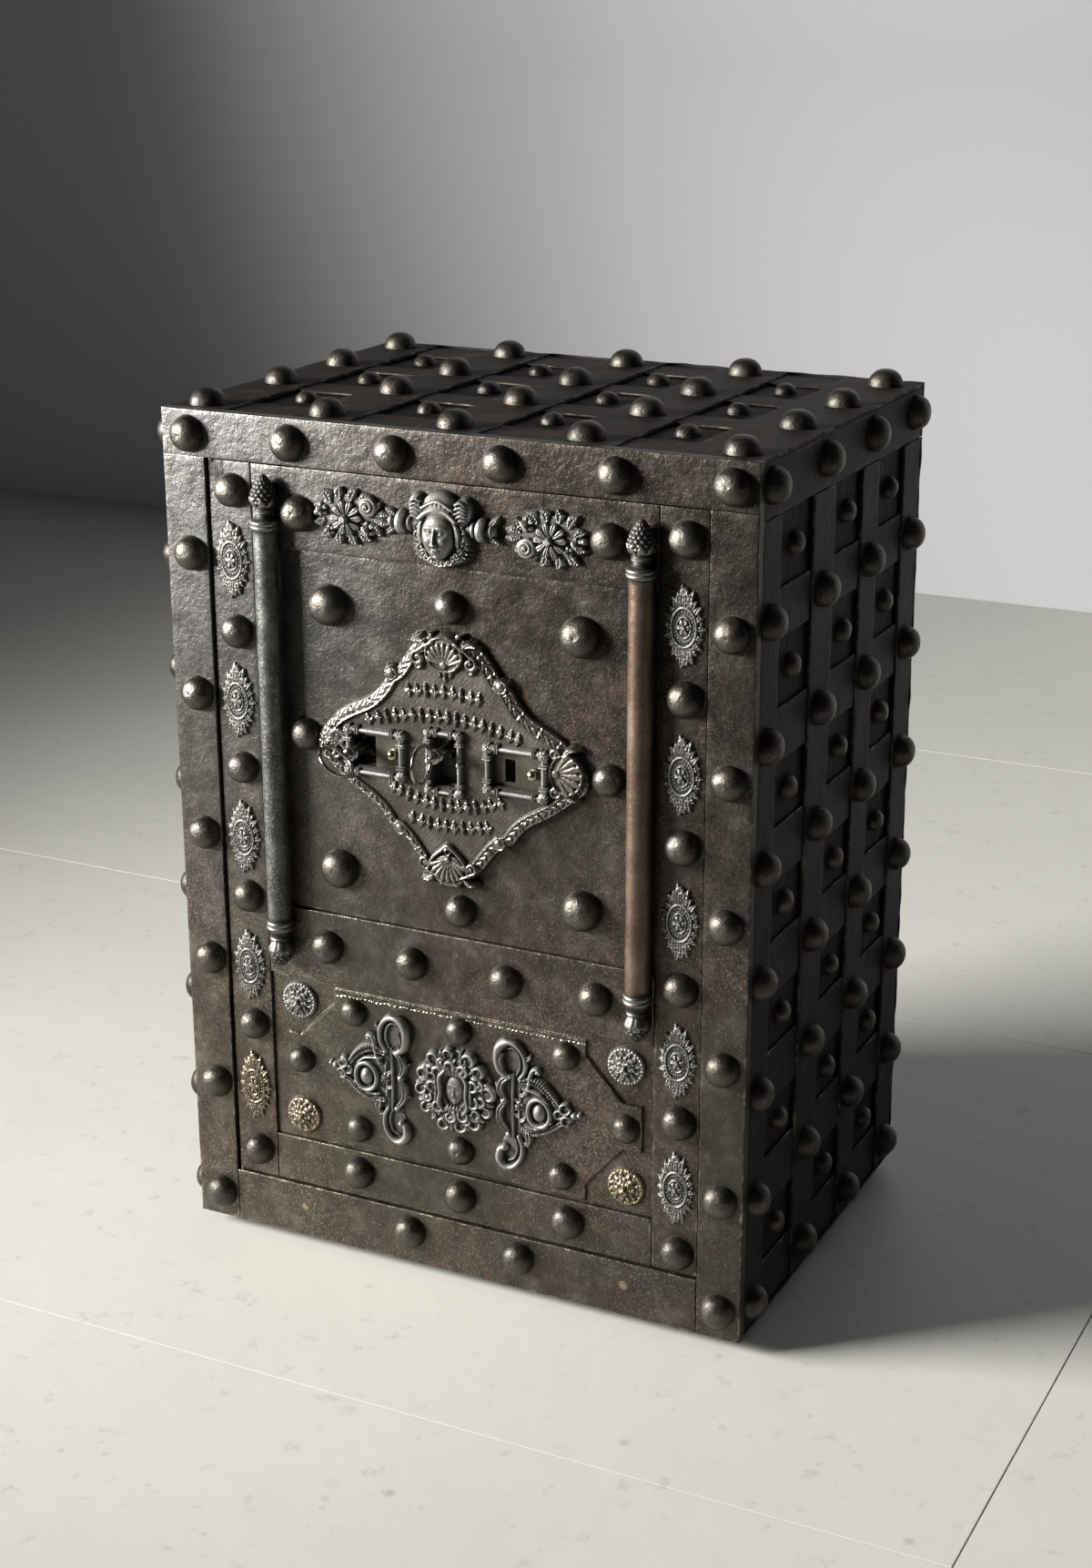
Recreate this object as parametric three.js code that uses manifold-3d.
// Riveted iron strongbox, about 1850-1880: an oak carcass between sheet-iron skins, held by
// strapwork whose crossings are riveted with domed studs. Its door turns on two pivot pins at
// the left edge and is held by three lever locks, each with its own key, turning barrel and bolt.
//
// Millimetres, +Z up, front facing -Y. The pieces are drawn in bench coordinates: x from the
// left edge, y back from the front frame's face, z up from the underside of the bottom straps.
// The root group then moves the whole to its reference point, the middle of the footprint.
import * as THREE from "three";
import { mergeVertices } from "three/addons/utils/BufferGeometryUtils.js";
import Module from "manifold-3d";

const wasm = await Module();
wasm.setup();

// ---------------------------------------------------------------- driving dimensions
const W = 544; // body width, without studs
const D = 392; // body depth, front frame to back straps
const H = 760; // body height
const STRAP = 3.7; // strapwork thickness on sides, top, bottom and back
const GAP = 0.3; // clearance between fitted pieces
const FRAME_T = 10; // front frame thickness
const STILE_L = 41; // width of the left stile
const STILE_R = 504; // inner edge of the right stile
const RAIL_B = 51; // top edge of the bottom rail
const RAIL_T = 720; // lower edge of the top rail
const STUD_R = 15.5; // domed stud on a crossing
const STUD_H = 14;
const FOOT_H = 12; // studs under the box, worn flat
const SMALL_R = 11; // stud in a recess
const SMALL_H = 9;
const BIG_R = 18; // four large studs round the lock plate
const BIG_H = 16;
const LOW_R = 13; // studs of the lower panel
const LOW_H = 12;
const DOOR_Y = 3; // face of the door's straps, behind the frame's face
const PANEL_Y = 6; // face of the door's panels
const DOOR_IN = 8.7; // back of the door's straps and panels
const CORE_Y0 = 9;
const CORE_Y1 = 50;
const PIVOT = [46, 5]; // x, y of the door's pivot line
const PIN_R = 3.2;
const BARREL_R = 12;
const SHANK_R = 4.7;
const KEY_REACH = 10.5; // bit, from the key's axis
const KEY_AXES = [
  [188, 483.5],
  [269.5, 493],
  [328, 482.5],
];
const BOW_Y = -42.5; // centre of a key's bow, in front of the frame
const BOW_R = 16; // centreline radius of the bow
const BOLT_T = 7; // bolt thickness
const BOLT_Y = [16, 25, 34]; // front face of each bolt
const MID_Y = (-60 + D + STUD_H) / 2; // middle of the whole depth, keys to back studs

// ---------------------------------------------------------------- materials
const metal = (color, roughness, metalness) =>
  new THREE.MeshStandardMaterial({ color, roughness, metalness });
const MAT = {
  strap: () => metal(0x3b3732, 0.5, 0.85),
  skin: () => metal(0x4a3f36, 0.65, 0.7),
  door: () => metal(0x50483f, 0.5, 0.8),
  cast: () => metal(0x77736a, 0.38, 0.95),
  gilt: () => metal(0x6e5a3c, 0.5, 0.85),
  dark_column: () => metal(0x3f4038, 0.42, 0.9),
  copper: () => metal(0x7a4e33, 0.4, 0.9),
  brass: () => metal(0x9a8350, 0.4, 0.9),
  steel: () => metal(0x6d6a66, 0.35, 0.95),
  oak: () => metal(0x6b4a2c, 0.75, 0),
  lining: () => metal(0x5a2f22, 0.6, 0.3),
};

// ---------------------------------------------------------------- solids
// Welds a new shape's seams while it is still drawn about its own origin.
function weld(geometry) {
  for (const k of Object.keys(geometry.attributes))
    if (k !== "position") geometry.deleteAttribute(k);
  const merged = mergeVertices(geometry, 1e-4);
  const index = merged.index.array;
  const kept = [];
  for (let i = 0; i < index.length; i += 3) {
    const [a, b, c] = [index[i], index[i + 1], index[i + 2]];
    if (a !== b && b !== c && a !== c) kept.push(a, b, c);
  }
  merged.setIndex(kept);
  merged.clearGroups();
  return merged;
}

const solid = (geometry) =>
  new wasm.Manifold(
    new wasm.Mesh({
      numProp: 3,
      vertProperties: new Float32Array(geometry.attributes.position.array),
      triVerts: new Uint32Array(geometry.index.array),
    }),
  );

function geometryOf(manifold) {
  const mesh = manifold.getMesh();
  const n = mesh.numProp;
  const v = new Float32Array(mesh.numVert * 3);
  for (let i = 0; i < mesh.numVert; i++)
    v.set(mesh.vertProperties.subarray(i * n, i * n + 3), i * 3);
  return new THREE.BufferGeometry()
    .setAttribute("position", new THREE.BufferAttribute(v, 3))
    .setIndex(new THREE.BufferAttribute(new Uint32Array(mesh.triVerts), 1));
}

const join = (...parts) =>
  geometryOf(parts.flat().map(solid).reduce((a, b) => a.add(b)));
const cut = (whole, ...tools) =>
  geometryOf(
    tools
      .flat()
      .map(solid)
      .reduce((a, b) => a.subtract(b), solid(whole)),
  );

// ---------------------------------------------------------------- basic shapes
const box = (x0, x1, y0, y1, z0, z1) =>
  weld(new THREE.BoxGeometry(x1 - x0, y1 - y0, z1 - z0)).translate(
    (x0 + x1) / 2,
    (y0 + y1) / 2,
    (z0 + z1) / 2,
  );

const outline = (points) =>
  new THREE.Shape(points.map(([u, v]) => new THREE.Vector2(u, v)));

const rect = (u0, u1, v0, v1) => [
  [u0, v0],
  [u1, v0],
  [u1, v1],
  [u0, v1],
];

const ring = (u, v, r, n, turn = 0) =>
  Array.from({ length: n }, (_, i) => {
    const a = (2 * Math.PI * (i + turn)) / n;
    return [u + r * Math.cos(a), v + r * Math.sin(a)];
  });

// Extrusions of an outline that lies in the front, side or ground plane. Holes are cut after.
function prism(points, depth) {
  return weld(
    new THREE.ExtrudeGeometry(outline(points), {
      depth,
      bevelEnabled: false,
      steps: 1,
    }),
  );
}
const extrude = (points, depth, holes = []) =>
  holes.length
    ? cut(
        prism(points, depth),
        holes.map((h) => prism(h, depth + 2).translate(0, 0, -1)),
      )
    : prism(points, depth);
const slabXZ = (points, y0, y1, holes) =>
  extrude(points, y1 - y0, holes)
    .rotateX(Math.PI / 2)
    .translate(0, y1, 0);
const SIDE_BASIS = new THREE.Matrix4().makeBasis(
  new THREE.Vector3(0, 1, 0),
  new THREE.Vector3(0, 0, 1),
  new THREE.Vector3(1, 0, 0),
);
const slabYZ = (points, x0, x1, holes) =>
  extrude(points, x1 - x0, holes)
    .applyMatrix4(SIDE_BASIS)
    .translate(x0, 0, 0);
const slabXY = (points, z0, z1, holes) =>
  extrude(points, z1 - z0, holes).translate(0, 0, z0);

// A turned solid about the line through at, along dir. profile is [distance along, radius].
function turned(profile, at, dir, n) {
  const pts = profile.map(([y, r]) => new THREE.Vector2(r, y));
  const g = weld(new THREE.LatheGeometry(pts, n));
  g.applyQuaternion(
    new THREE.Quaternion().setFromUnitVectors(
      new THREE.Vector3(0, 1, 0),
      new THREE.Vector3(...dir),
    ),
  );
  return g.translate(...at);
}

// A domed stud whose base circle sits at `at`, rooted 1 mm into what it rivets.
const dome = (at, dir, r = STUD_R, h = STUD_H, n = 6) =>
  turned(
    [
      [-1, 0],
      [-1, r],
      [0, r],
      [0.72 * h, 0.72 * r],
      [h, 0],
    ],
    at,
    dir,
    n,
  );
const foot = (at) =>
  turned(
    [
      [-1, 0],
      [-1, STUD_R],
      [0, STUD_R],
      [0.75 * FOOT_H, 0.72 * STUD_R],
      [FOOT_H, 0.42 * STUD_R],
      [FOOT_H, 0],
    ],
    at,
    [0, 0, -1],
    6,
  );

// ---------------------------------------------------------------- scene graph
const strongbox = new THREE.Group();
strongbox.name = "strongbox";
const origins = new Map([[strongbox, [0, 0, 0]]]);

function group(name, parent, origin) {
  const g = new THREE.Group();
  g.name = name;
  const p = origins.get(parent);
  g.position.set(origin[0] - p[0], origin[1] - p[1], origin[2] - p[2]);
  origins.set(g, origin);
  parent.add(g);
  return g;
}

// Adds a piece drawn in bench coordinates: its geometry is moved to its own middle, and the
// mesh is placed there.
function add(name, geometry, material, parent) {
  geometry.computeBoundingBox();
  const c = geometry.boundingBox.getCenter(new THREE.Vector3());
  for (const k of ["x", "y", "z"]) c[k] = Math.round(c[k] * 8) / 8;
  geometry.translate(-c.x, -c.y, -c.z);
  geometry.computeVertexNormals();
  const mesh = new THREE.Mesh(geometry, MAT[material]());
  mesh.name = name;
  const p = origins.get(parent);
  mesh.position.set(c.x - p[0], c.y - p[1], c.z - p[2]);
  parent.add(mesh);
  return mesh;
}

// ---------------------------------------------------------------- strapwork layout
const SIDE_U = [
  [10.3, 50],
  [122, 172],
  [238, 280],
  [346, 388],
];
const SIDE_V = [
  [4, 50],
  [100, 150],
  [198, 248],
  [298, 348],
  [400, 448],
  [503, 550],
  [608, 650],
  [712, 756],
];
const SIDE_STUDS_U = [28, 147, 259, 367];
const SIDE_STUDS_V = [27, 125, 223, 323, 424, 527, 629, 737];
const SIDE_SMALL_U = [86, 205, 313];
const SIDE_SMALL_V = [75, 174, 273, 374, 475.5, 579, 681];
const TOP_U = [
  [0, 55],
  [116, 174],
  [237, 295],
  [351, 416],
  [472, 544],
];
const TOP_V = [
  [10.3, 60],
  [130, 168],
  [239, 272],
  [339, 388],
];
const TOP_STUDS_U = [27, 145, 266, 384, 517];
const TOP_STUDS_V = [31, 149, 255.5, 364];
const TOP_SMALL_U = [85.5, 205.5, 323, 444];
const TOP_SMALL_V = [95, 203.5, 305.5];
const BACK_V = SIDE_V.map(([a, b], i) => (i === 0 ? [0, b] : i === 7 ? [a, H] : [a, b]));

const windows = (us, vs) => {
  const holes = [];
  for (let i = 0; i + 1 < us.length; i++)
    for (let j = 0; j + 1 < vs.length; j++)
      holes.push(rect(us[i][1], us[i + 1][0], vs[j][1], vs[j + 1][0]));
  return holes;
};
const around = (us, vs) =>
  rect(us[0][0], us[us.length - 1][1], vs[0][0], vs[vs.length - 1][1]);
const grid = (us, vs, f) => us.flatMap((u) => vs.map((v) => f(u, v)));

// ---------------------------------------------------------------- box
const body = group("body", strongbox, [W / 2, D / 2, 0]);

// The door stands in a rebate; the oak behind it is the door's stop.
const rebate = box(42, 503, 5, 54, 49, 722);
const cavity = box(54, 491, 50, 345, 61, 710);
const carcassOuter = box(6.3, 537.7, 10.3, 385.7, 6.3, 753.7);
// Each bolt's head, z range, and the pockets that the heads enter in the right wall.
const HEADS = [
  [588, 614],
  [503, 524],
  [384, 410],
];
const pockets = HEADS.map(([a, b], i) =>
  box(502, 527, BOLT_Y[i] - 1, BOLT_Y[i] + BOLT_T + 1, a - 1.5, b + 1.5),
);
add("oak_carcass", cut(carcassOuter, rebate, cavity, pockets), "oak", body);
add(
  "iron_lining",
  cut(
    box(54.3, 490.7, 54.3, 344.7, 61.3, 709.7),
    box(55.8, 489.2, 50, 343.2, 62.8, 708.2),
  ),
  "lining",
  body,
);
add(
  "shelf_board",
  join(box(57, 488, 112, 342.5, 372, 384), box(57, 488, 108, 113, 369, 387)),
  "oak",
  body,
);
const ledge = (x0, x1, xi0, xi1) =>
  join(box(x0, x1, 118, 338, 350, 368.5), box(xi0, xi1, 118, 338, 366, 368.5));
add("shelf_ledge_left", ledge(56.1, 58.1, 57, 76), "skin", body);
add("shelf_ledge_right", ledge(486.9, 488.9, 469, 488), "skin", body);

// The right wall's strike plate, let into the oak's face beside the door.
add(
  "strike_plate",
  cut(
    box(501.6, 502.7, 12, 46, 370, 630),
    HEADS.map(([a, b], i) =>
      box(500, 504, BOLT_Y[i] - 0.8, BOLT_Y[i] + BOLT_T + 0.8, a - 1.2, b + 1.2),
    ),
  ),
  "steel",
  body,
);

// Skins and strapwork. The left side mirrors the right.
const sidePlate = join(
  box(538, 540, 10.3, 385.7, 4, 756),
  grid(SIDE_SMALL_U, SIDE_SMALL_V, (y, z) =>
    dome([540, y, z], [1, 0, 0], SMALL_R, SMALL_H, 5),
  ),
);
const sideStraps = join(
  slabYZ(around(SIDE_U, SIDE_V), W - STRAP, W, windows(SIDE_U, SIDE_V)),
  grid(SIDE_STUDS_U, SIDE_STUDS_V, (y, z) => dome([W, y, z], [1, 0, 0])),
);
function mirrored(geometry) {
  const g = geometry.clone().applyMatrix4(new THREE.Matrix4().makeScale(-1, 1, 1));
  const i = g.index.array;
  for (let k = 0; k < i.length; k += 3) [i[k + 1], i[k + 2]] = [i[k + 2], i[k + 1]];
  return g.translate(W, 0, 0);
}
add("left_side_plate", mirrored(sidePlate), "skin", body);
// The left side's front nails stand nearer the corner, partly over the stile's flank.
const leftStraps = cut(
  mirrored(
    join(
      slabYZ(around(SIDE_U, SIDE_V), W - STRAP, W, windows(SIDE_U, SIDE_V)),
      grid([18.5, ...SIDE_STUDS_U.slice(1)], SIDE_STUDS_V, (y, z) =>
        dome([W, y, z], [1, 0, 0]),
      ),
    ),
  ),
  box(-0.3, 12, -5, FRAME_T + 0.25, -5, H + 5),
);
add("left_side_strapwork", leftStraps, "strap", body);
add("right_side_plate", sidePlate, "skin", body);
add("right_side_strapwork", sideStraps, "strap", body);

add(
  "top_plate",
  join(
    box(6.3, 537.7, 10.3, 385.7, 754, 756),
    grid(TOP_SMALL_U, TOP_SMALL_V, (x, y) =>
      dome([x, y, 756], [0, 0, 1], SMALL_R, SMALL_H, 5),
    ),
  ),
  "skin",
  body,
);
add(
  "top_strapwork",
  join(
    slabXY(around(TOP_U, TOP_V), H - STRAP, H, windows(TOP_U, TOP_V)),
    grid(TOP_STUDS_U, TOP_STUDS_V, (x, y) => dome([x, y, H], [0, 0, 1])),
  ),
  "strap",
  body,
);
add(
  "bottom_plate",
  join(
    box(6.3, 537.7, 10.3, 385.7, 4, 6),
    grid(TOP_SMALL_U, TOP_SMALL_V, (x, y) =>
      dome([x, y, 4], [0, 0, -1], SMALL_R, SMALL_H, 5),
    ),
  ),
  "skin",
  body,
);
add(
  "bottom_strapwork",
  join(
    slabXY(around(TOP_U, TOP_V), 0, STRAP, windows(TOP_U, TOP_V)),
    grid(TOP_STUDS_U, TOP_STUDS_V, (x, y) => foot([x, y, 0])),
  ),
  "strap",
  body,
);
add(
  "back_plate",
  join(
    box(4, 540, 386, 388, 4, 756),
    grid(TOP_SMALL_U, SIDE_SMALL_V, (x, z) =>
      dome([x, 388, z], [0, 1, 0], SMALL_R, SMALL_H, 5),
    ),
  ),
  "skin",
  body,
);
add(
  "back_strapwork",
  join(
    slabXZ(around(TOP_U, BACK_V), D - STRAP, D, windows(TOP_U, BACK_V)),
    grid(TOP_STUDS_U, SIDE_STUDS_V, (x, z) => dome([x, D, z], [0, 1, 0])),
  ),
  "strap",
  body,
);

// Front frame. The rails hold the sockets of the door's pivot pins.
const socket = (z0, z1) => slabXY(ring(PIVOT[0], PIVOT[1], 3.66, 12), z0, z1);
const front = (x, z, r, h, y = 0) => dome([x, y, z], [0, -1, 0], r, h);
add(
  "frame_top_rail",
  cut(
    join(
      box(0, W, 0, FRAME_T, RAIL_T, H),
      [26, 125, 224, 323, 424, 522.5].map((x) => front(x, 739.5)),
    ),
    socket(RAIL_T - 2, RAIL_T + 14),
  ),
  "door",
  body,
);
add(
  "frame_left_stile",
  join(
    box(0, STILE_L, 0, FRAME_T, 0, RAIL_T - GAP),
    [636, 511, 382, 262, 139, 26].map((z) => front(24.5, z)),
  ),
  "door",
  body,
);
add(
  "frame_right_stile",
  join(
    box(STILE_R, W, 0, FRAME_T, 0, RAIL_T - GAP),
    [623, 502, 379, 253, 131.5, 27.5].map((z) => front(524, z)),
  ),
  "door",
  body,
);
add(
  "frame_bottom_rail",
  cut(
    join(
      box(STILE_L + GAP, STILE_R - GAP, 0, FRAME_T, 0, RAIL_B),
      [225, 334].map((x) => front(x, 31)),
    ),
    socket(RAIL_B - 13, RAIL_B + 2),
  ),
  "door",
  body,
);

// ---------------------------------------------------------------- door
const door = group("door", strongbox, [PIVOT[0], PIVOT[1], H / 2]);
const DX0 = 44,
  DX1 = 502.5,
  DZ0 = 52.3,
  DZ1 = 718.7; // the door's outline

// Pivots: a corner block with a pin that turns in the rail.
const pivot = (z0, z1, zp0, zp1) =>
  join(
    box(DX0, 58, DOOR_Y, 15, z0, z1),
    slabXY(ring(PIVOT[0], PIVOT[1], PIN_R, 12), zp0, zp1),
  );
add("upper_pivot", pivot(700, DZ1, DZ1 - 2, 733), "steel", door);
add("lower_pivot", pivot(DZ0, 71, 39, DZ0 + 2), "steel", door);
const corners = [
  box(DX0 - 1, 58.3, DOOR_Y - 1, 15.3, 699.7, DZ1 + 1),
  box(DX0 - 1, 58.3, DOOR_Y - 1, 15.3, DZ0 - 1, 71.3),
];

const doorStud = (x, z, r = STUD_R, h = STUD_H) => front(x, z, r, h, DOOR_Y);
// A lozenge rosette riveted on a strap: eight-sided, longer than wide.
const rosette = (x, z) =>
  turned(
    [
      [-1, 0],
      [-1, 1],
      [1.6, 1],
      [3.2, 0.6],
      [5, 0.42],
      [6.2, 0],
    ],
    [0, 0, 0],
    [0, -1, 0],
    4,
  )
    .rotateY(Math.PI / 4)
    .rotateY(Math.PI / 4)
    .scale(17.5, 1, 34)
    .translate(x, DOOR_Y, z);

add(
  "door_left_strap",
  cut(
    join(
      box(DX0, 84.7, DOOR_Y, DOOR_IN, DZ0, DZ1),
      [694, 571, 448, 327.5, 203.5, 77.5].map((z) => doorStud(65.8, z)),
      [633.5, 508.5, 382.5, 260, 141].map((z) => rosette(64, z)),
    ),
    corners,
  ),
  "door",
  door,
);
add(
  "door_right_strap",
  join(
    box(460.3, DX1, DOOR_Y, DOOR_IN, DZ0, DZ1),
    [694, 565, 440, 315.5, 194.5, 72].map((z) => doorStud(484.5, z)),
    [624, 501, 375, 250.5, 132.5].map((z) => rosette(483, z)),
  ),
  "door",
  door,
);
add(
  "door_top_strap",
  join(
    box(85, 460, DOOR_Y, DOOR_IN, 648, DZ1),
    doorStud(131.5, 680.5),
    doorStud(417.5, 686),
  ),
  "door",
  door,
);
add(
  "door_middle_strap",
  join(
    box(85, 460, DOOR_Y, DOOR_IN, 258, 324),
    [146.5, 231, 322.5, 406.5].map((x) => doorStud(x, 292.5)),
  ),
  "door",
  door,
);
add(
  "door_bottom_strap",
  join(
    box(85, 460, DOOR_Y, DOOR_IN, DZ0, 97),
    [172, 275.5, 381].map((x) => doorStud(x, 76.8)),
  ),
  "door",
  door,
);

// Keyhole windows through the panel and the core's face.
const KEYHOLES = [
  rect(181.5, 199.5, 468.5, 496.5),
  rect(257.5, 280.5, 461.5, 503),
  rect(317, 339, 469, 497.5),
];
add(
  "door_centre_plate",
  join(
    slabXZ(rect(85, 460, 324.3, 647.7), PANEL_Y, DOOR_IN, KEYHOLES),
    [
      [156.5, 604],
      [391.5, 604],
      [160, 368],
      [393, 368.5],
    ].map(([x, z]) => front(x, z, BIG_R, BIG_H, PANEL_Y)),
    [
      [273, 615],
      [278.5, 348.5],
      [131, 487],
      [417.5, 487],
    ].map(([x, z]) => front(x, z, 14.5, STUD_H, PANEL_Y)),
  ),
  "door",
  door,
);
add("door_lower_plate", box(85, 460, PANEL_Y, DOOR_IN, 97.3, 257.7), "door", door);
const overlay = [
  [150.5, 251],
  [150.5, 238],
  [115, 202],
  [101.6, 202],
  [101.6, 160],
  [115, 160],
  [150.5, 122],
  [150.5, 101],
  [397, 101],
  [397, 116],
  [433, 158],
  [450, 158],
  [450, 200],
  [433, 200],
  [397, 238],
  [397, 251],
].reverse();
add(
  "door_lower_overlay",
  join(
    slabXZ(overlay, DOOR_Y + 0.2, PANEL_Y - GAP),
    [
      [171, 234.5],
      [276.5, 237],
      [379.5, 234.5],
      [115.5, 178],
      [436, 178.5],
      [174, 121.5],
      [276.5, 122],
      [375.5, 120],
    ].map(([x, z]) => front(x, z, LOW_R, LOW_H, DOOR_Y + 0.2)),
  ),
  "door",
  door,
);
// Beaded lion-mask medallions in the panel's corners.
[
  [114, 234.5],
  [435, 235.5],
  [114, 121.5],
  [435.5, 122.5],
].forEach(([x, z], i) =>
  add(
    "lion_medallion_" + (i + 1),
    turned(
      [
        [0, 0],
        [0, 17.2],
        [3.5, 17.2],
        [4.5, 14],
        [7.5, 9],
        [10.5, 0],
      ],
      [x, PANEL_Y - GAP, z],
      [0, -1, 0],
      10,
    ),
    i < 2 ? "cast" : "gilt",
    door,
  ),
);

// Engaged columns, flat at the back where they lie on the door.
const columnProfile = (zb, zt) => {
  const s0 = zb + 46,
    s1 = zt - 48;
  return [
    [zb, 0],
    [zb + 3, 2.5],
    [zb + 14, 7.5],
    [zb + 25, 4],
    [zb + 28, 12],
    [zb + 33, 12],
    [zb + 35, 8.5],
    [zb + 39, 12],
    [zb + 44, 12],
    [s0, 10.5],
    [s1, 10.2],
    [s1 + 2, 12],
    [s1 + 7, 12],
    [s1 + 9, 8.5],
    [s1 + 12, 12],
    [s1 + 17, 12],
    [s1 + 20, 5],
    [s1 + 30, 9],
    [s1 + 44, 3],
    [zt, 0],
  ];
};
const column = (x, zb, zt) =>
  cut(
    turned(columnProfile(zb, zt), [x, -6, 0], [0, 0, 1], 8),
    box(x - 20, x + 20, DOOR_Y - 0.3, 20, zb - 5, zt + 5),
  );
// Lathe turns +Y onto +Z, so the profile's distance is the height.
add("left_column", column(103, 270, 713), "dark_column", door);
add("right_column", column(449, 265, 709), "copper", door);

// Lock cartouche: a lozenge of ogee sides with a raised border, and a shallow chamber behind
// for the two sliding covers.
const CX = 272.5,
  CZ = 482.5;
const quarter = [
  [127, 6],
  [111, 26],
  [78, 48],
  [58, 70],
  [46, 82],
  [30, 101],
  [12, 110],
];
const cartouche = (s) => [
  ...quarter.map(([x, z]) => [CX + x * s, CZ + z * s]),
  ...quarter.map(([x, z]) => [CX - x * s, CZ + z * s]).reverse(),
  ...quarter.map(([x, z]) => [CX - x * s, CZ - z * s]),
  ...quarter.map(([x, z]) => [CX + x * s, CZ - z * s]).reverse(),
];
const WINDOWS = [
  rect(181.5, 224, 468, 497),
  rect(257.5, 280, 461, 503),
  rect(313.5, 358.5, 469, 498),
];
add(
  "lock_cartouche",
  cut(
    join(
      slabXZ(cartouche(1), 0, PANEL_Y - GAP, WINDOWS),
      slabXZ(cartouche(1), -5, 1, [cartouche(0.9)]),
    ),
    box(179, 247.5, 2.7, 7, 465, 500),
    box(297.5, 374, 2.7, 7, 465.5, 501.5),
  ),
  "cast",
  door,
);
// Moulded keyhole frames: a raised ring that slopes on both sides.
function moulding(o, w) {
  const base = -GAP,
    top = -8;
  const [x0, x1, z0, z1] = o;
  const loop = (d) => rect(x0 + d, x1 - d, z0 + d, z1 - d);
  const rings = [
    [0, base],
    [0, -3],
    [w * 0.35, top],
    [w * 0.65, top],
    [w, -3],
    [w, base],
  ];
  const v = [],
    idx = [];
  rings.forEach(([d, y]) => loop(d).forEach(([x, z]) => v.push(x, y, z)));
  for (let r = 0; r < rings.length; r++) {
    const s = (r + 1) % rings.length;
    for (let k = 0; k < 4; k++) {
      const l = (k + 1) % 4;
      idx.push(r * 4 + k, r * 4 + l, s * 4 + l, r * 4 + k, s * 4 + l, s * 4 + k);
    }
  }
  return new THREE.BufferGeometry()
    .setAttribute("position", new THREE.BufferAttribute(new Float32Array(v), 3))
    .setIndex(idx);
}
add("keyhole_frame_left", moulding([173, 232, 459.5, 504.5], 8), "cast", door);
add("keyhole_frame_centre", moulding([250.5, 287, 453, 511.5], 7), "cast", door);
add("keyhole_frame_right", moulding([306, 366, 460.5, 506], 8), "cast", door);

// Sliding covers with their brass knobs. Each tucks under its frame's moulding.
const knob = (x, z) =>
  turned(
    [
      [-1, 0],
      [-1, 2.2],
      [2.5, 2.2],
      [4, 4.2],
      [6.5, 4.6],
      [9, 2.8],
      [10, 0],
    ],
    [x, 3, z],
    [0, -1, 0],
    8,
  );
add(
  "sliding_cover_left",
  join(box(200, 246.5, 3, 5.4, 465.5, 499.5), knob(219, 482)),
  "brass",
  door,
);
add(
  "sliding_cover_right",
  join(
    slabXZ(rect(311, 373, 466, 501), 3, 5.4, [rect(323.2, 332.8, 472.5, 492.5)]),
    knob(351, 483),
  ),
  "brass",
  door,
);

// Cast ornaments.
const star = (x, z, rx, rz, n, dip, turn = 0) =>
  Array.from({ length: 2 * n }, (_, i) => {
    const a = (Math.PI * (i + turn)) / n;
    const k = i % 2 ? dip : 1;
    return [x + rx * k * Math.cos(a), z + rz * k * Math.sin(a)];
  });
const spray = (x, z) =>
  join(
    slabXZ(star(x, z, 35, 22, 8, 0.86), -3, DOOR_Y - GAP),
    turned(
      [
        [0, 0],
        [0, 14],
        [5, 10],
        [7, 0],
      ],
      [x, -3.5 + 1, z - 1],
      [0, -1, 0],
      8,
    ),
  );
add("flower_spray_left", spray(184, 683.5), "cast", door);
add("flower_spray_right", spray(363.5, 683.5), "cast", door);
const ball = (rx, ry, rz, at, n = 8, m = 6) =>
  weld(new THREE.SphereGeometry(1, n, m)).scale(rx, ry, rz).translate(...at);
const baluster = (x0, x1, z) =>
  turned(
    [
      [0, 0],
      [0, 6],
      [(x1 - x0) * 0.35, 11],
      [(x1 - x0) * 0.55, 11],
      [x1 - x0, 5],
      [x1 - x0, 0],
    ],
    [x0, -3.5, z],
    [1, 0, 0],
    8,
  );
// A classical head in a winged cap between two balusters, on a low backing strip.
add(
  "head_ornament",
  cut(
    join(
      box(226, 318, -2, DOOR_Y - GAP, 676, 692),
      ball(24, 9, 30, [268.5, -2, 682.5], 8, 6),
      ball(14.5, 10, 20, [268.5, -9.5, 680], 8, 6),
      ball(24, 14, 12, [268.5, -3, 702], 8, 5),
      baluster(221, 245, 684),
      baluster(293, 322, 684),
    ),
    box(200, 340, DOOR_Y - GAP, 40, 640, 725),
  ),
  "cast",
  door,
);
const OY = DOOR_Y + 0.2 - GAP; // back of the ornaments on the overlay
// A pierced side ornament: a tall crescent with a triangular rocaille.
function rocaille(x, s) {
  const crescent = [
    [22, 60],
    [10, 62],
    [0, 52],
    [-4, 38],
    [-4, 30],
    [-22, 22],
    [-38, 8],
    [-56, 0],
    [-38, -9],
    [-24, -22],
    [-10, -27],
    [-14, -42],
    [-4, -38],
    [-2, -50],
    [6, -60],
    [20, -60],
    [26, -50],
    [16, -36],
    [18, 0],
    [16, 34],
    [26, 50],
  ];
  const pts = crescent.map(([u, v]) => [x + s * u, 178 + v]);
  return join(
    slabXZ(s > 0 ? pts.reverse() : pts, OY - 6, OY),
    turned(
      [
        [0, 0],
        [0, 11],
        [3, 9],
        [6, 0],
      ],
      [x - s * 18, OY - 5.5, 178],
      [0, -1, 0],
      8,
    ),
  );
}
add("rocaille_left", rocaille(201, 1), "cast", door);
add("rocaille_right", rocaille(340, -1), "cast", door);
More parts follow.
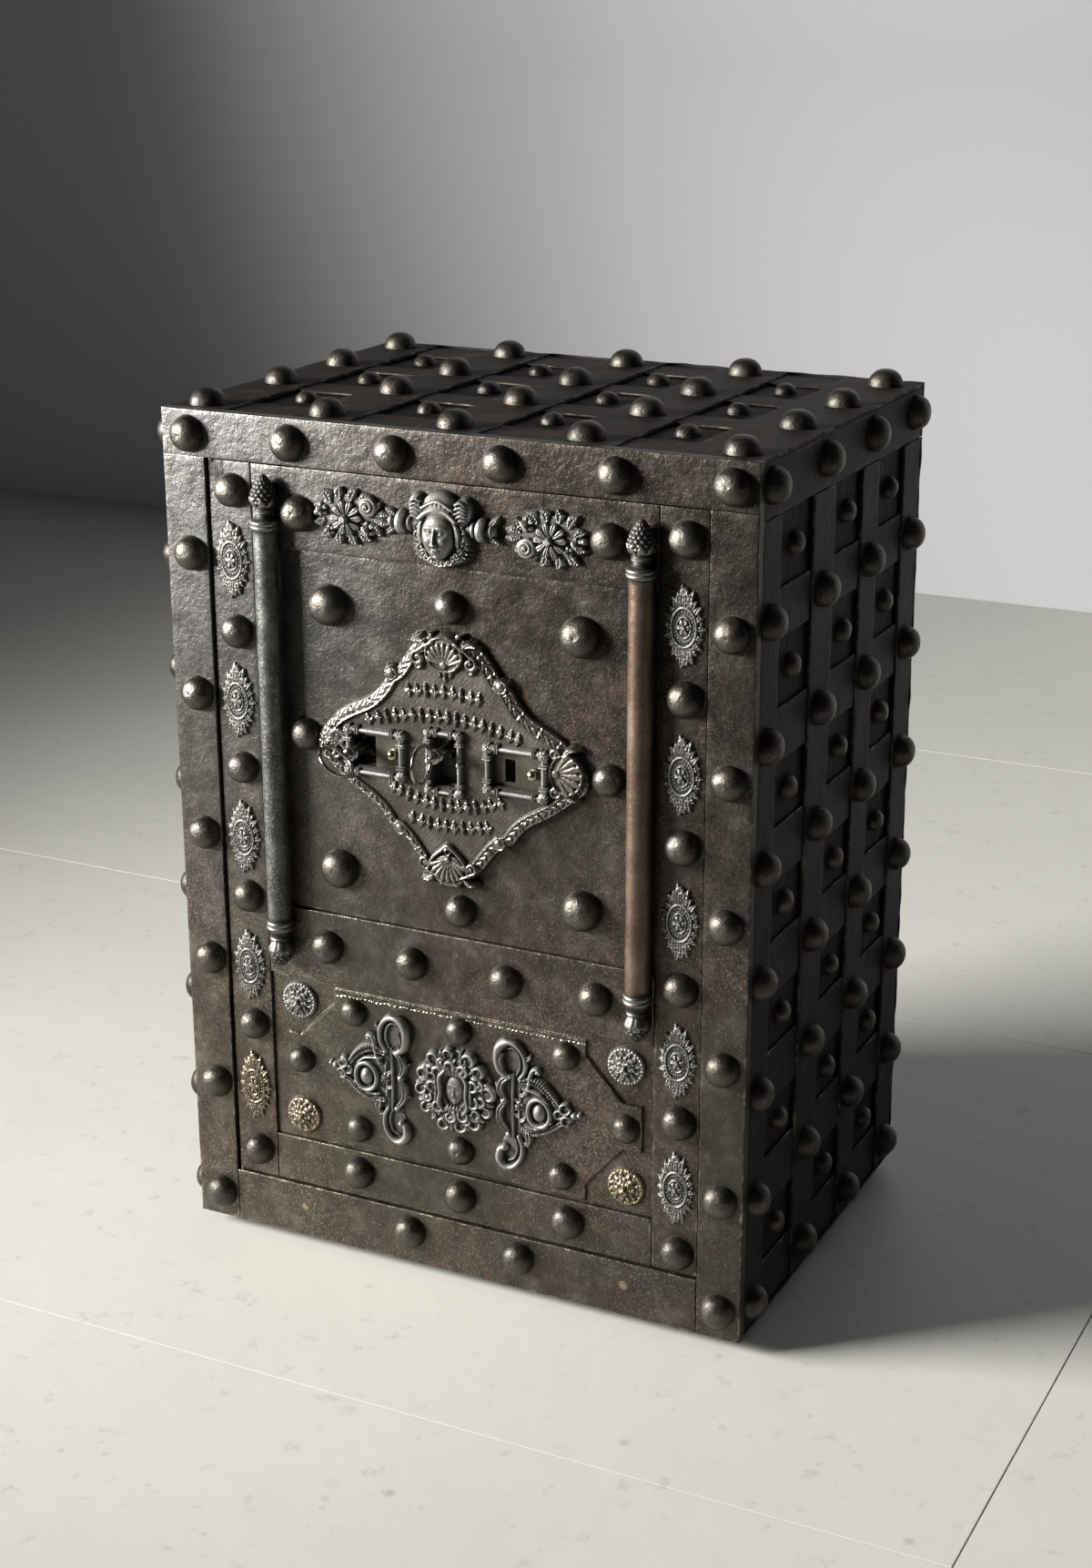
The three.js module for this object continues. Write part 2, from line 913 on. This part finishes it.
add(
  "mask_cartouche",
  join(
    slabXZ(star(274, 181, 41, 40, 9, 0.9), OY - 6, OY),
    ball(17, 5.5, 22, [274, OY - 6, 182], 10, 8),
  ),
  "cast",
  door,
);

// Door core: oak faced with iron, with a mortise from the back for the lock work.
const work = (d) => [
  [150 + d, 440 + d],
  [400 + d, 440 + d],
  [400 + d, 368 + d],
  [495 - d, 368 + d],
  [495 - d, 628 - d],
  [400 + d, 628 - d],
  [400 + d, 534 - d],
  [150 + d, 534 - d],
];
const core = cut(
  box(47, 499, CORE_Y0, CORE_Y1, 53.5, 717.5),
  corners,
  slabXZ(work(0), 12, CORE_Y1 + 1),
  KEYHOLES.map(([[x0, z0], , [x1, z1]]) => box(x0, x1, CORE_Y0 - 1, 13, z0, z1)),
  HEADS.map(([a, b], i) =>
    box(494, 500, BOLT_Y[i] - 0.6, BOLT_Y[i] + BOLT_T + 0.6, a - 0.8, b + 0.8),
  ),
);
add("door_core", core, "oak", door);
add("door_back_plate", box(50, 496, 50.3, 52.3, 57, 714), "skin", door);

// Lock work: two plates carry the barrels; three bolts slide between them.
const lock = group("lock_work", door, [KEY_AXES[1][0], 30, KEY_AXES[1][1]]);
add(
  "lock_front_plate",
  slabXZ(
    work(0.3),
    12.3,
    14.6,
    KEY_AXES.map(([x, z]) => ring(x, z, 12.65, 16, 0.5)),
  ),
  "steel",
  lock,
);
add(
  "lock_rear_plate",
  slabXZ(
    work(0.3),
    45,
    47.5,
    KEY_AXES.map(([x, z]) => ring(x, z, 4.65, 8, 0.5)),
  ),
  "steel",
  lock,
);

// Keys lie at these angles: the bit's direction in the front plane, from +x towards +z.
const BIT = [-40, -90, -90].map((a) => (a * Math.PI) / 180);
const TOOTH_REST = (Math.PI / 2) + (Math.PI / 4); // up and to the left
const TOOTH_R = [30, 22, 31];
// A flat bar from the axis outwards, at an angle in the front plane.
const arm = (x, z, a, r0, r1, w, y0, y1) =>
  slabXZ(
    [
      [r0, -w / 2],
      [r1, -w / 2],
      [r1, w / 2],
      [r0, w / 2],
    ].map(([u, v]) => [
      x + u * Math.cos(a) - v * Math.sin(a),
      z + u * Math.sin(a) + v * Math.cos(a),
    ]),
    y0,
    y1,
  );
KEY_AXES.forEach(([x, z], i) => {
  const name = ["left", "centre", "right"][i];
  const y = BOLT_Y[i];
  const drum = join(
    slabXZ(ring(x, z, BARREL_R, 16), 12.6, 44),
    slabXZ(ring(x, z, 4.1, 8), 43, 47.2),
    arm(x, z, TOOTH_REST, 6, TOOTH_R[i], 6, y + 0.6, y + BOLT_T - 0.6),
  );
  const keyway = [
    slabXZ(ring(x, z, 5.5, 8, 0.5), 10, 38),
    arm(x, z, BIT[i], 0, KEY_REACH + 0.6, 3.8, 10, 36.5),
  ];
  add("lock_barrel_" + name, cut(drum, keyway), "steel", lock);
});

// Bolts: a bar above the barrels, a tail with a wide notch round its barrel's tooth, and a head.
function bolt(i) {
  const [x, z] = KEY_AXES[i];
  const [h0, h1] = HEADS[i];
  const barZ0 = 508,
    barZ1 = 521;
  const reach = TOOTH_R[i] * Math.SQRT1_2;
  const n0 = x - reach - 6.5,
    n1 = x - reach + 26; // notch
  const foot = z + TOOTH_R[i] * 0.62;
  const tail0 = n0 - 9,
    tail1 = n1 + 9;
  const notchTop = z + TOOTH_R[i] + 1.5;
  const top = Math.max(barZ1, notchTop + 4);
  const end = 497.5;
  const legX = end - 36.5; // its leg stays clear of the mortise's end wall when thrown
  const pts = [[tail0, top], [tail0, foot], [n0, foot], [n0, notchTop], [n1, notchTop], [n1, foot], [tail1, foot], [tail1, barZ0]];
  if (h0 > 560) pts.push([legX + 8, barZ0], [legX + 8, h0], [end, h0], [end, h1], [legX - 8, h1], [legX - 8, barZ1]);
  else if (h1 < 440) pts.push([legX - 8, barZ0], [legX - 8, h0], [end, h0], [end, h1], [legX + 8, h1], [legX + 8, barZ1]);
  else pts.push([legX, barZ0], [legX, h0], [end, h0], [end, h1], [legX, h1], [legX, barZ1]);
  if (top > barZ1) pts.push([tail1, barZ1], [tail1, top]);
  return slabXZ(pts, BOLT_Y[i], BOLT_Y[i] + BOLT_T);
}
["left", "centre", "right"].forEach((name, i) =>
  add("bolt_" + name, bolt(i), "steel", lock),
);

// Keys: a plain round bow in the plane of the bit, a collar, a shank and a warded bit.
function key(i) {
  const [x, z] = KEY_AXES[i];
  const a = BIT[i];
  // The ring's plane holds the bit's direction and the shank's.
  const bow = weld(new THREE.TorusGeometry(BOW_R, 1.5, 6, 16))
    .applyMatrix4(
      new THREE.Matrix4().makeBasis(
        new THREE.Vector3(Math.cos(a), 0, Math.sin(a)),
        new THREE.Vector3(0, 1, 0),
        new THREE.Vector3(-Math.sin(a), 0, Math.cos(a)),
      ),
    )
    .translate(x, BOW_Y, z);
  const y1 = BOW_Y + BOW_R; // bow's inner end of the shank
  return join(
    bow,
    turned(
      [
        [0, 0],
        [0, 3],
        [3, 6.2],
        [7, 6.2],
        [9, 4.4],
        [11, 5.6],
        [13, SHANK_R],
        [36 - y1, SHANK_R],
        [36 - y1, 0],
      ],
      [x, y1, z],
      [0, 1, 0],
      8,
    ),
    arm(x, z, a, 2, KEY_REACH, 3, 20, 26),
    arm(x, z, a, 2, KEY_REACH - 2.5, 3, 25.5, 30),
    arm(x, z, a, 2, KEY_REACH, 3, 29.5, 35),
  );
}
const leftKey = group("left_key_line", lock, [KEY_AXES[0][0], BOW_Y, KEY_AXES[0][1]]);
const centreKey = group("centre_key_line", lock, [KEY_AXES[1][0], BOW_Y, KEY_AXES[1][1]]);
add("key_left", key(0), "steel", leftKey);
add("key_centre", key(1), "steel", centreKey);

// ---------------------------------------------------------------- reference point
strongbox.position.set(-W / 2, -MID_Y, FOOT_H);

export default strongbox;
